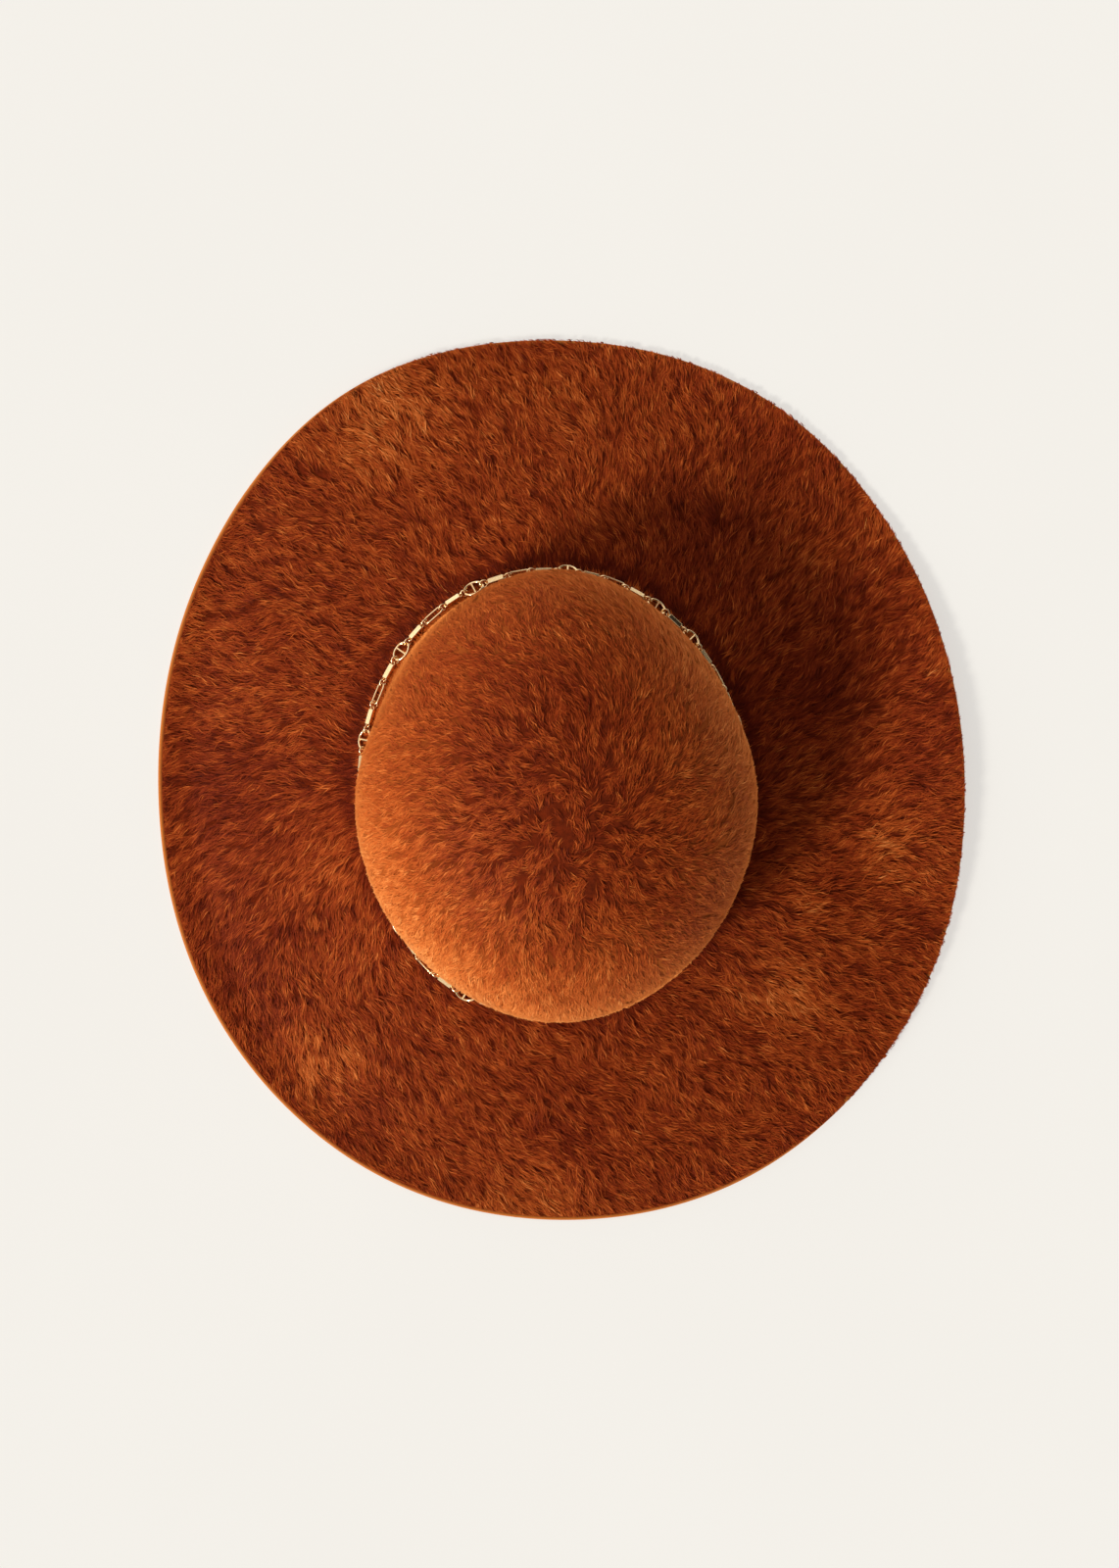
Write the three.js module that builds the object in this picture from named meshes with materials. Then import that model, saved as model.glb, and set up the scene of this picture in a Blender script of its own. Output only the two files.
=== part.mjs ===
import * as THREE from "three";

// A wide-brimmed hat blocked from one piece of long-haired fur felt, with a gold chain
// lying round the foot of its round crown. Millimetres, +Z up, +Y towards the back of the head.
// The brim rests on z = 0, and the origin is on that surface, under the middle of the brim.

// The felt, one thickness all over
const FELT_THICKNESS = 2.6;

// The crown, measured over the felt at its widest, and up from the brim's top face
const CROWN_WIDTH = 173;
const CROWN_LENGTH = 196;
const CROWN_HEIGHT = 108;

// The crown stands a little off the middle of the brim, which was cut by hand
const CROWN_OFFSET_X = -5.5;
const CROWN_OFFSET_Y = -2.5;

// The brim, measured across its outline, and its height where it meets the crown
const BRIM_WIDTH = 360;
const BRIM_LENGTH = 394;
const BREAK_HEIGHT = 16;
const BREAK_RADIUS = 7;

// The chain: anchor links and long links by turns, with a bar after each, and a small ring
// between each two
const ANCHOR_LENGTH = 10;
const ANCHOR_WIDTH = 8;
const ANCHOR_DEPTH = 1.6;
const BAR_LENGTH = 7;
const BAR_THICKNESS = 2.6;
const LONG_LINK_LENGTH = 10.7;
const LONG_LINK_WIDTH = 4.4;
const LONG_LINK_DEPTH = 1.2;
const RING_SPAN = 2;
const RING_WIDTH = 1.4;
const RING_DEPTH = 4.2;
const CHAIN_CLEARANCE = 0.4;

// Where the middle of the first anchor link lies, past +X along the chain
const CHAIN_START = 93.8;

// How finely the shapes are divided
const AROUND_STEPS = 64;
const CROWN_STEPS = 14;
const BREAK_STEPS = 5;
const BRIM_STEPS = 8;
const CHAIN_SIDES = 8;
const ROUTE_POINTS = 48;

// The crown's outline in section, from its foot to its tip. rise is a share of the height
// from the top of the break to the tip, swell how far the outline has gone from the one at
// the foot to the widest one, and reach a share of that outline.
const CROWN_SECTION = [
  { rise: 0.0, swell: 0, reach: 1.0 },
  { rise: 0.15, swell: 0.35, reach: 1.0 },
  { rise: 0.3, swell: 0.8, reach: 1.0 },
  { rise: 0.42, swell: 1, reach: 1.0 },
  { rise: 0.55, swell: 1, reach: 0.978 },
  { rise: 0.67, swell: 1, reach: 0.91 },
  { rise: 0.78, swell: 1, reach: 0.8 },
  { rise: 0.87, swell: 1, reach: 0.653 },
  { rise: 0.94, swell: 1, reach: 0.468 },
  { rise: 0.985, swell: 1, reach: 0.246 },
  { rise: 1.0, swell: 1, reach: 0.0 },
];

// The crown from above, one row for each direction from its middle, in degrees anticlockwise
// from +X: the foot and the widest outline, as shares of the ellipse CROWN_WIDTH by
// CROWN_LENGTH. It is narrower at the back, as the block was.
const CROWN_OUTLINES = [
  { angle: 0, foot: 0.948, widest: 1.0 },
  { angle: 30, foot: 0.947, widest: 0.96 },
  { angle: 60, foot: 0.949, widest: 0.955 },
  { angle: 90, foot: 0.951, widest: 0.993 },
  { angle: 120, foot: 0.955, widest: 0.963 },
  { angle: 150, foot: 0.946, widest: 0.947 },
  { angle: 180, foot: 0.932, widest: 1.0 },
  { angle: 210, foot: 0.927, widest: 1.0 },
  { angle: 240, foot: 0.957, widest: 0.985 },
  { angle: 270, foot: 0.958, widest: 1.0 },
  { angle: 300, foot: 0.952, widest: 0.994 },
  { angle: 330, foot: 0.947, widest: 0.997 },
];

// The brim, one row for each direction from its middle, in degrees anticlockwise from +X.
// outline is the rim's distance as a share of the ellipse BRIM_WIDTH by BRIM_LENGTH. inner,
// middle and rim are heights of the underside, a third, two thirds and all of the way out,
// as shares of BREAK_HEIGHT. Felt that would hang below z = 0 lies flat on it instead.
const BRIM_SECTIONS = [
  { angle: 0, outline: 1.0, inner: 0.5, middle: 0.4, rim: 0.6 },
  { angle: 30, outline: 1.0, inner: 0.6, middle: 0.3, rim: 0.25 },
  { angle: 60, outline: 1.006, inner: 0.66, middle: 0.27, rim: -0.3 },
  { angle: 90, outline: 1.0, inner: 0.68, middle: 0.28, rim: -0.25 },
  { angle: 120, outline: 1.031, inner: 0.62, middle: 0.26, rim: 0.2 },
  { angle: 150, outline: 1.013, inner: 0.72, middle: 0.32, rim: -0.25 },
  { angle: 180, outline: 1.0, inner: 0.72, middle: 0.3, rim: -0.35 },
  { angle: 210, outline: 1.008, inner: 0.7, middle: 0.3, rim: -0.35 },
  { angle: 240, outline: 1.006, inner: 0.72, middle: 0.33, rim: -0.4 },
  { angle: 270, outline: 1.0, inner: 0.76, middle: 0.35, rim: -0.4 },
  { angle: 300, outline: 1.02, inner: 0.8, middle: 0.38, rim: -0.4 },
  { angle: 330, outline: 1.022, inner: 0.92, middle: 0.58, rim: 0.25 },
];

const breakTop = BREAK_HEIGHT + FELT_THICKNESS;

// A value that passes smoothly through four evenly spaced ones, between the second and third
function smoothBetween(before, from, to, after, share) {
  const curve = 2 * before - 5 * from + 4 * to - after + share * (3 * (from - to) + after - before);
  return from + (share * (to - before + share * curve)) / 2;
}

// One column of a table of directions at any angle, smooth all the way round
function valueAround(table, column, angle) {
  const rows = table.length;
  const place = ((angle / (2 * Math.PI)) * rows + rows) % rows;
  const row = Math.floor(place);
  const near = [-1, 0, 1, 2].map((step) => table[(row + step + rows) % rows][column]);
  return smoothBetween(...near, place - row);
}

// Distance from the middle of an ellipse to its edge, at an angle
function ellipseReach(width, length, angle) {
  const across = Math.cos(angle) / (width / 2);
  const along = Math.sin(angle) / (length / 2);
  return 1 / Math.hypot(across, along);
}

// Distance from the middle of the crown to an outline of it, named by its column, at an angle
function crownReach(column, angle) {
  return ellipseReach(CROWN_WIDTH, CROWN_LENGTH, angle) * valueAround(CROWN_OUTLINES, column, angle);
}

function crownPoint(angle, reach, height) {
  const x = CROWN_OFFSET_X + reach * Math.cos(angle);
  const y = CROWN_OFFSET_Y + reach * Math.sin(angle);
  return new THREE.Vector3(x, y, height);
}

// The crown's outer face in section at one angle, from near the tip down to the foot
function crownLine(angle) {
  const foot = crownReach("foot", angle);
  const widest = crownReach("widest", angle);
  const rows = CROWN_SECTION.map(({ rise, swell, reach }) => {
    const height = breakTop + BREAK_RADIUS + rise * (CROWN_HEIGHT - BREAK_RADIUS);
    return new THREE.Vector2((foot + (widest - foot) * swell) * reach, height);
  });
  return new THREE.SplineCurve(rows.reverse()).getPoints(CROWN_STEPS);
}

// Moves each point of a section into the felt, square to the outer face. The tip goes straight down.
function inwards(line) {
  return line.map((point, i) => {
    const before = line[Math.max(i - 1, 0)];
    const after = line[Math.min(i + 1, line.length - 1)];
    const way = after.clone().sub(before).normalize();
    const into = i === 0 ? new THREE.Vector2(0, -1) : new THREE.Vector2(way.y, -way.x);
    return point.clone().addScaledVector(into, FELT_THICKNESS);
  });
}

// The rounded break between crown and brim, at a distance from the middle line of its curve
function breakLine(angle, radius) {
  const foot = crownReach("foot", angle);
  const points = [];
  for (let i = 1; i <= BREAK_STEPS; i++) {
    const turn = (Math.PI / 2) * (i / BREAK_STEPS);
    const reach = foot + BREAK_RADIUS - radius * Math.cos(turn);
    points.push(crownPoint(angle, reach, breakTop + BREAK_RADIUS - radius * Math.sin(turn)));
  }
  return points;
}

// The brim's underside at one angle, from the break out to the rim
function brimLine(angle) {
  const foot = crownReach("foot", angle);
  const start = crownPoint(angle, foot + BREAK_RADIUS, BREAK_HEIGHT);
  const reach = ellipseReach(BRIM_WIDTH, BRIM_LENGTH, angle) * valueAround(BRIM_SECTIONS, "outline", angle);
  const rim = new THREE.Vector3(reach * Math.cos(angle), reach * Math.sin(angle), 0);
  const drop = ["inner", "middle", "rim"].map((column) => valueAround(BRIM_SECTIONS, column, angle));
  const heights = [1, 1, ...drop, 2 * drop[2] - drop[1]];
  const points = [];
  for (let i = 1; i <= BRIM_STEPS; i++) {
    const share = (i / BRIM_STEPS) * 3;
    const third = Math.min(Math.floor(share), 2);
    const height = smoothBetween(...heights.slice(third, third + 4), share - third) * BREAK_HEIGHT;
    const point = start.clone().lerp(rim, i / BRIM_STEPS);
    points.push(point.setZ(Math.max(height, 0)));
  }
  return points;
}

// One closed section of the felt: over the outside from the tip to the rim, and back inside
function feltSection(angle) {
  const outer = crownLine(angle);
  const inner = inwards(outer);
  const under = brimLine(angle);
  const over = under.map((point) => point.clone().setZ(point.z + FELT_THICKNESS));
  const outside = outer.slice(1).map((point) => crownPoint(angle, point.x, point.y));
  const inside = inner.slice(1, -1).map((point) => crownPoint(angle, point.x, point.y));
  const outerBreak = breakLine(angle, BREAK_RADIUS);
  const innerBreak = [crownPoint(angle, outer[CROWN_STEPS].x - FELT_THICKNESS, outer[CROWN_STEPS].y)];
  innerBreak.push(...breakLine(angle, BREAK_RADIUS + FELT_THICKNESS));
  const there = [...outside, ...outerBreak, ...over];
  const back = [...inside, ...innerBreak, ...under];
  return [...there, ...back.reverse()];
}

// Joins a ring of sections into one skin. Sections that end at two tips get them as extra
// points, and without tips each section is a closed loop.
function skin(sections, closedRound, tips = []) {
  const count = sections[0].length;
  const points = [...sections.flat(), ...tips];
  const index = [];
  const rows = closedRound ? count : count - 1;
  sections.forEach((section, column) => {
    const here = column * count;
    const next = ((column + 1) % sections.length) * count;
    for (let row = 0; row < rows; row++) {
      const below = (row + 1) % count;
      index.push(here + row, here + below, next + below, here + row, next + below, next + row);
    }
    if (tips.length) {
      const tip = sections.length * count;
      index.push(tip, here, next);
      index.push(tip + 1, next + count - 1, here + count - 1);
    }
  });
  const geometry = new THREE.BufferGeometry().setFromPoints(points);
  geometry.setIndex(index);
  geometry.computeVertexNormals();
  return geometry;
}

// The felt body: crown and brim are one piece, hollow and open underneath
function feltBody() {
  const sections = [];
  for (let i = 0; i < AROUND_STEPS; i++) {
    sections.push(feltSection((i / AROUND_STEPS) * 2 * Math.PI));
  }
  const outerTip = crownPoint(0, 0, breakTop + CROWN_HEIGHT);
  const innerTip = outerTip.clone().setZ(outerTip.z - FELT_THICKNESS);
  return skin(sections, false, [outerTip, innerTip]);
}

// The chain's middle line: it lies in the break, as far from its curve as the anchor links
// and the rings need to keep the clearance
function chainRoute() {
  const room = BREAK_RADIUS - CHAIN_CLEARANCE;
  const anchorPlace = Math.sqrt(room ** 2 - (ANCHOR_WIDTH / 2) ** 2) - ANCHOR_DEPTH / 2;
  const ringPlace = room - RING_DEPTH / 2;
  const inset = Math.min(anchorPlace, ringPlace) * Math.SQRT1_2;
  const points = [];
  for (let i = 0; i < ROUTE_POINTS; i++) {
    const angle = (i / ROUTE_POINTS) * 2 * Math.PI;
    const foot = crownReach("foot", angle);
    points.push(crownPoint(angle, foot + BREAK_RADIUS - inset, breakTop + BREAK_RADIUS - inset));
  }
  return new THREE.CatmullRomCurve3(points, true);
}

// The outer form of the links: form has sections along a link, with their place on it and
// their width, both as shares
function chainLinks() {
  const rounded = [
    { along: 0.04, spread: 0.35 },
    { along: 0.2, spread: 0.85 },
    { along: 0.5, spread: 1 },
    { along: 0.8, spread: 0.85 },
    { along: 0.96, spread: 0.35 },
  ];
  const straight = [
    { along: 0.02, spread: 1 },
    { along: 0.98, spread: 1 },
  ];
  const oblong = [
    { along: 0.03, spread: 0.5 },
    { along: 0.18, spread: 1 },
    { along: 0.82, spread: 1 },
    { along: 0.97, spread: 0.5 },
  ];
  const anchor = { length: ANCHOR_LENGTH, width: ANCHOR_WIDTH, depth: ANCHOR_DEPTH, form: rounded };
  const ring = { length: RING_SPAN, width: RING_WIDTH, depth: RING_DEPTH, form: straight };
  const bar = { length: BAR_LENGTH, width: BAR_THICKNESS, depth: BAR_THICKNESS, form: straight };
  const long = {
    length: LONG_LINK_LENGTH,
    width: LONG_LINK_WIDTH,
    depth: LONG_LINK_DEPTH,
    form: oblong,
  };
  return { anchor, long, between: [ring, bar, ring] };
}

// The chain fills its route, so the links stretch by a hair. Their number may be odd: two
// anchor links then follow one another where it is closed.
function chain() {
  const route = chainRoute();
  const routeLength = route.getLength();
  const { anchor, long, between } = chainLinks();
  const pitch = (ANCHOR_LENGTH + LONG_LINK_LENGTH) / 2 + BAR_LENGTH + 2 * RING_SPAN;
  const links = [];
  for (let i = 0; i < Math.round(routeLength / pitch); i++) {
    links.push(i % 2 ? long : anchor, ...between);
  }
  const chainLength = links.reduce((sum, { length }) => sum + length, 0);
  const sections = [];
  let start = CHAIN_START - ANCHOR_LENGTH / 2 + routeLength;
  for (const { length, width, depth, form } of links) {
    const stretched = (length * routeLength) / chainLength;
    for (const { along, spread } of form) {
      const share = ((start + along * stretched) / routeLength) % 1;
      sections.push(chainSection(route, share, spread * width, depth));
    }
    start += stretched;
  }
  return skin(sections, true);
}

// One section across the chain. The links lean at half a right angle between crown and brim.
function chainSection(route, share, width, depth) {
  const middle = route.getPointAt(share);
  const outward = new THREE.Vector3(0, 0, 1).cross(route.getTangentAt(share)).negate().normalize();
  const across = outward.clone().sub(new THREE.Vector3(0, 0, 1)).normalize();
  const away = outward.clone().add(new THREE.Vector3(0, 0, 1)).normalize();
  const points = [];
  for (let side = 0; side < CHAIN_SIDES; side++) {
    const turn = -((side + 0.5) / CHAIN_SIDES) * 2 * Math.PI;
    const point = middle.clone().addScaledVector(across, (Math.cos(turn) * width) / 2);
    points.push(point.addScaledVector(away, (Math.sin(turn) * depth) / 2));
  }
  return points;
}

function piece(name, geometry, look) {
  const mesh = new THREE.Mesh(geometry, new THREE.MeshStandardMaterial(look));
  mesh.name = name;
  return mesh;
}

const hat = new THREE.Group();
hat.add(piece("felt_body", feltBody(), { color: 0x8a3512, roughness: 0.95, metalness: 0 }));
hat.add(piece("chain_band", chain(), { color: 0xd2a85c, roughness: 0.25, metalness: 1 }));

export default hat;
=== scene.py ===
import math

import bpy
import numpy as np
from mathutils import Matrix, Vector


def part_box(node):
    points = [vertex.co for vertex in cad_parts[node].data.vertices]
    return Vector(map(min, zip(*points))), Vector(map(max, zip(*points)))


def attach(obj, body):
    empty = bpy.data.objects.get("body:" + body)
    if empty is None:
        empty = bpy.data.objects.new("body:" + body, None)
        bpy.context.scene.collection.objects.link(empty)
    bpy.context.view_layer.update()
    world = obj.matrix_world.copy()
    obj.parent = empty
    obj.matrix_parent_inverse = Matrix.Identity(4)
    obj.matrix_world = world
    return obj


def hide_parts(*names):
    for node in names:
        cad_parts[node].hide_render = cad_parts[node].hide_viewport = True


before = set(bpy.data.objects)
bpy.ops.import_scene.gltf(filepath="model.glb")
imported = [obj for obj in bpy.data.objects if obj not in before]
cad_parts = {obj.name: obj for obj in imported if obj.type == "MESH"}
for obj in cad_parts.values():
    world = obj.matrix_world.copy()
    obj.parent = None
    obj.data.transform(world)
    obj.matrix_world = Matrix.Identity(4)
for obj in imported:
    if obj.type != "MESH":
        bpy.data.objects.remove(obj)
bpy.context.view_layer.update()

# The felt body. Crown and brim are one piece of rabbit-fur felt, steamed and pulled over a round
# block. The brim was then pressed into soft waves by hand and cut without a binding, so the
# lighter inside of the felt shows as a line along its edge.
MM = 0.001
FELT_THICKNESS = 2.6 * MM
CROWN_WIDTH = 173 * MM
CROWN_LENGTH = 196 * MM
CROWN_OFFSET = (-5.5 * MM, -2.5 * MM)
BREAK_HEIGHT = 16 * MM
BREAK_RADIUS = 7 * MM
EDGE_ROUNDING = 0.8 * MM
SETTLED = 1.0 * MM

felt_low, felt_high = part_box("felt_body")
BRIM_WIDTH = felt_high.x - felt_low.x
BRIM_LENGTH = felt_high.y - felt_low.y
BREAK_TOP = BREAK_HEIGHT + FELT_THICKNESS
CROWN_HEIGHT = felt_high.z - BREAK_TOP

# The crown in section, from foot to tip: its rise as a share of the height above the break, how
# far its outline has swelled from the foot's to the widest, and its reach as a share of that.
# The last row mirrors the one before the tip.
CROWN_SECTION = np.array([
    (0.0, 0.0, 1.0),
    (0.15, 0.35, 1.0),
    (0.3, 0.8, 1.0),
    (0.42, 1.0, 1.0),
    (0.55, 1.0, 0.978),
    (0.67, 1.0, 0.91),
    (0.78, 1.0, 0.8),
    (0.87, 1.0, 0.653),
    (0.94, 1.0, 0.468),
    (0.985, 1.0, 0.246),
    (1.0, 1.0, 0.0),
    (0.985, 1.0, -0.246),
])

# The crown from above every 30 degrees from +X: its foot and its widest outline, as shares of
# the ellipse
CROWN_OUTLINES = np.array([
    (0.948, 1.0),
    (0.947, 0.96),
    (0.949, 0.955),
    (0.951, 0.993),
    (0.955, 0.963),
    (0.946, 0.947),
    (0.932, 1.0),
    (0.927, 1.0),
    (0.957, 0.985),
    (0.958, 1.0),
    (0.952, 0.994),
    (0.947, 0.997),
])

# The brim every 30 degrees from +X: its outline as a share of the ellipse, then the height of its
# underside a third, two thirds and all of the way out, as shares of the height at the break
BRIM_SECTIONS = np.array([
    (1.0, 0.5, 0.4, 0.6),
    (1.0, 0.6, 0.3, 0.25),
    (1.006, 0.66, 0.27, -0.3),
    (1.0, 0.68, 0.28, -0.25),
    (1.031, 0.62, 0.26, 0.2),
    (1.013, 0.72, 0.32, -0.25),
    (1.0, 0.72, 0.3, -0.35),
    (1.008, 0.7, 0.3, -0.35),
    (1.006, 0.72, 0.33, -0.4),
    (1.0, 0.76, 0.35, -0.4),
    (1.02, 0.8, 0.38, -0.4),
    (1.022, 0.92, 0.58, 0.25),
])


def smooth_rows(rows, place, closed):
    """Values of a table between its rows, on a curve that passes through each row"""
    row = np.floor(place).astype(int)
    share = (place - row)[..., None]
    steps = [row + step for step in (-1, 0, 1, 2)]
    steps = [s % len(rows) if closed else np.clip(s, 0, len(rows) - 1) for s in steps]
    before, start, end, after = [rows[s] for s in steps]
    curve = 2 * before - 5 * start + 4 * end - after + share * (3 * (start - end) + after - before)
    return start + share * (end - before + share * curve) / 2


def ellipse_reach(width, length, angle):
    """Distance from the middle of an ellipse to its edge, at an angle"""
    return 1 / np.hypot(np.cos(angle) / (width / 2), np.sin(angle) / (length / 2))


def crown_reach(angle):
    """Distances from the middle of the crown to its foot and to its widest outline"""
    shares = smooth_rows(CROWN_OUTLINES, angle / math.radians(30), True)
    return (ellipse_reach(CROWN_WIDTH, CROWN_LENGTH, angle)[:, None] * shares).T


def crown_point(angle, reach, height):
    x = CROWN_OFFSET[0] + reach * np.cos(angle)
    y = CROWN_OFFSET[1] + reach * np.sin(angle)
    return np.stack([x, y, height + 0 * x], -1)


def felt_top(angle, crown_steps, break_steps, brim_shares):
    """The upper face of the felt as rows of points from the tip of the crown to the rim"""
    foot, widest = crown_reach(angle)
    centre = BREAK_TOP + BREAK_RADIUS
    rows = []
    tip = len(CROWN_SECTION) - 2
    for place in np.linspace(tip, 0, crown_steps, endpoint=False)[1:]:
        rise, swell, reach = smooth_rows(CROWN_SECTION, np.array(place), False)
        outline = foot + (widest - foot) * swell
        rows.append(crown_point(angle, outline * reach, centre + rise * (CROWN_HEIGHT - BREAK_RADIUS)))
    for turn in np.linspace(0, math.pi / 2, break_steps, endpoint=False):
        reach = foot + BREAK_RADIUS * (1 - math.cos(turn))
        rows.append(crown_point(angle, reach, centre - BREAK_RADIUS * math.sin(turn)))
    outline, inner, middle, rim = smooth_rows(BRIM_SECTIONS, angle / math.radians(30), True).T
    reach = ellipse_reach(BRIM_WIDTH, BRIM_LENGTH, angle) * outline
    edge = np.stack([reach * np.cos(angle), reach * np.sin(angle)], -1)
    start = crown_point(angle, foot + BREAK_RADIUS, 0)[:, :2]
    ones = np.ones_like(inner)
    heights = np.stack([ones, ones, inner, middle, rim, 2 * rim - middle])
    for share in brim_shares:
        place = min(max(share, 0) * 3, 2.9999)
        height = smooth_rows(heights[:, :, None], np.array([place + 1]), False)[0, :, 0]
        height = (height + (share * 3 - place) * (rim - middle)) * BREAK_HEIGHT
        height = (height + np.hypot(height, SETTLED)) / 2
        flat = start + (edge - start) * share
        rows.append(np.concatenate([flat, (height + FELT_THICKNESS)[:, None]], 1))
    return np.stack(rows)


def face_normals(rows):
    """Outward normals of a grid of points that is closed round its columns"""
    down = np.gradient(rows, axis=0)
    around = np.roll(rows, -1, 1) - np.roll(rows, 1, 1)
    normals = np.cross(down, around)
    return normals / np.linalg.norm(normals, axis=-1, keepdims=True)


def linear(code):
    """A colour as sRGB hex, turned to linear light"""
    parts = [int(code[i:i + 2], 16) / 255 for i in (1, 3, 5)]
    return [p / 12.92 if p <= 0.04045 else ((p + 0.055) / 1.055) ** 2.4 for p in parts] + [1]


def add_node(tree, kind, inputs=(), stops=(), **settings):
    """Adds a node with its settings, and its inputs as plain values or as sockets to link"""
    node = tree.nodes.new(kind)
    for name, value in settings.items():
        setattr(node, name, value)
    for name, value in dict(inputs).items():
        if isinstance(value, bpy.types.NodeSocket):
            tree.links.new(value, node.inputs[name])
        else:
            node.inputs[name].default_value = value
    for place, (position, colour) in enumerate(stops):
        elements = node.color_ramp.elements
        element = elements[place] if place < 2 else elements.new(position)
        element.position = position
        element.color = linear(colour)
    return node


def new_material(name):
    """A material with an empty tree, and the output that its surface goes to"""
    material = bpy.data.materials.new(name)
    material.use_nodes = True
    material.node_tree.nodes.clear()
    output = add_node(material.node_tree, "ShaderNodeOutputMaterial")
    return material, material.node_tree, output.inputs["Surface"]


def new_piece(name, points, faces, material, uv=None, normals=None, flat=False, body="root"):
    """One mesh object. faces has a row of corners for each face, uv a place for each corner, and
    flat says which faces are shaded flat."""
    mesh = bpy.data.meshes.new(name)
    mesh.vertices.add(len(points))
    mesh.vertices.foreach_set("co", np.asarray(points, np.float32).ravel())
    mesh.loops.add(faces.size)
    mesh.loops.foreach_set("vertex_index", faces.astype(np.int32).ravel())
    mesh.polygons.add(len(faces))
    mesh.polygons.foreach_set("loop_start", np.arange(len(faces), dtype=np.int32) * faces.shape[1])
    smooth = np.ones(len(faces), bool) & ~np.asarray(flat, bool)
    mesh.polygons.foreach_set("use_smooth", smooth)
    if uv is not None:
        layer = mesh.uv_layers.new(name="OFBake")
        layer.uv.foreach_set("vector", np.asarray(uv, np.float32).ravel())
    mesh.update(calc_edges=True)
    if normals is not None:
        mesh.normals_split_custom_set_from_vertices(normals)
    mesh.materials.append(material)
    piece = bpy.data.objects.new(name, mesh)
    bpy.context.scene.collection.objects.link(piece)
    if body:
        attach(piece, body)
    return piece


# The felt itself shows only between the hairs, underneath and at the cut edge. Matted fur has no
# gloss. Its fibres, drawn coarser than they are, give it a short soft grain. It is paler on the
# crown's walls, as painted sheen for the glow of fur seen edge-on, and palest where the brim
# was cut.
MATTING_SPACING = 3 * MM
FIBRE_SPACING = 0.4 * MM
FIBRE_HEIGHT = 0.25 * MM
felt, tree, surface = new_material("rabbit_fur_felt")
place = add_node(tree, "ShaderNodeTexCoord").outputs["Object"]
matting = add_node(
    tree,
    "ShaderNodeTexNoise",
    {"Vector": place, "Scale": 1 / MATTING_SPACING, "Detail": 6},
)
fibres = add_node(
    tree,
    "ShaderNodeTexNoise",
    {"Vector": place, "Scale": 1 / FIBRE_SPACING, "Detail": 3},
)
dyed = add_node(
    tree,
    "ShaderNodeValToRGB",
    {"Fac": matting.outputs["Fac"]},
    [(0.3, "#4E1606"), (0.7, "#6E230A")],
)

# Y runs along the felt's section, from the tip over the rim and back underneath
marks = add_node(tree, "ShaderNodeUVMap", uv_map="OFBake").outputs["UV"]
section = add_node(tree, "ShaderNodeSeparateXYZ", {"Vector": marks})
cut = add_node(
    tree,
    "ShaderNodeValToRGB",
    {"Fac": section.outputs["Y"]},
    [(0.4805, "#000000"), (0.53, "#000000"), (0.4828, "#FFFFFF"), (0.5145, "#FFFFFF")],
)
# Painted sheen: the band of the crown's walls is paler, for the glow of fur seen edge-on
wall_sheen_band = add_node(
    tree,
    "ShaderNodeValToRGB",
    {"Fac": section.outputs["Y"]},
    [(0.05, "#000000"), (0.26, "#000000"), (0.15, "#FFFFFF"), (0.235, "#FFFFFF")],
)
dye_and_wall_sheen = add_node(
    tree,
    "ShaderNodeMix",
    {"Factor": wall_sheen_band.outputs["Color"], "A": dyed.outputs["Color"], "B": linear("#B4561F")},
    data_type="RGBA",
)
colour = add_node(
    tree,
    "ShaderNodeMix",
    {"Factor": cut.outputs["Color"], "A": dye_and_wall_sheen.outputs["Result"], "B": linear("#C06E30")},
    data_type="RGBA",
)
grain = add_node(
    tree,
    "ShaderNodeBump",
    {"Height": fibres.outputs["Fac"], "Distance": FIBRE_HEIGHT, "Strength": 0.8},
)
skin = add_node(
    tree,
    "ShaderNodeBsdfPrincipled",
    {
        "Base Color": colour.outputs["Result"],
        "Roughness": 0.95,
        "Specular IOR Level": 0.05,
        "Normal": grain.outputs["Normal"],
        "Sheen Weight": 0.3,
        "Sheen Roughness": 0.5,
        "Sheen Tint": linear("#FFA050"),
    },
)
tree.links.new(skin.outputs["BSDF"], surface)

# The skin of the felt: over the top, round the cut edge and back underneath
FELT_COLUMNS = 240
CROWN_STEPS = 44
BREAK_STEPS = 8
BRIM_STEPS = 36
EDGE_STEPS = 6
USUAL_BRIM = 90 * MM
angles = np.linspace(0, 2 * math.pi, FELT_COLUMNS, endpoint=False)
edge_share = 1 - EDGE_ROUNDING / USUAL_BRIM
top = felt_top(angles, CROWN_STEPS, BREAK_STEPS, np.linspace(0, edge_share, BRIM_STEPS))
out = face_normals(top)
under = top - FELT_THICKNESS * out
under[..., 2] = np.maximum(under[..., 2], 0)
middle = (top[-1] + under[-1]) / 2
away = top[-1] - top[-2]
away /= np.linalg.norm(away, axis=1, keepdims=True)
edge_rows = []
for turn in np.linspace(0, math.pi, EDGE_STEPS + 1)[1:-1]:
    rounding = away * EDGE_ROUNDING * math.sin(turn)
    edge_rows.append(middle + (top[-1] - middle) * math.cos(turn) + rounding)
felt_rows = np.concatenate([top, np.stack(edge_rows), under[::-1]])
tips = np.array([
    (*CROWN_OFFSET, felt_high.z),
    (*CROWN_OFFSET, felt_high.z - FELT_THICKNESS),
])
felt_points = np.concatenate([felt_rows.reshape(-1, 3), tips])
row_count = len(felt_rows)
cells = np.arange(row_count * FELT_COLUMNS).reshape(row_count, FELT_COLUMNS)
beside = np.roll(cells, -1, 1)
quads = np.stack([cells[:-1], cells[1:], beside[1:], beside[:-1]], -1).reshape(-1, 4)
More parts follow.
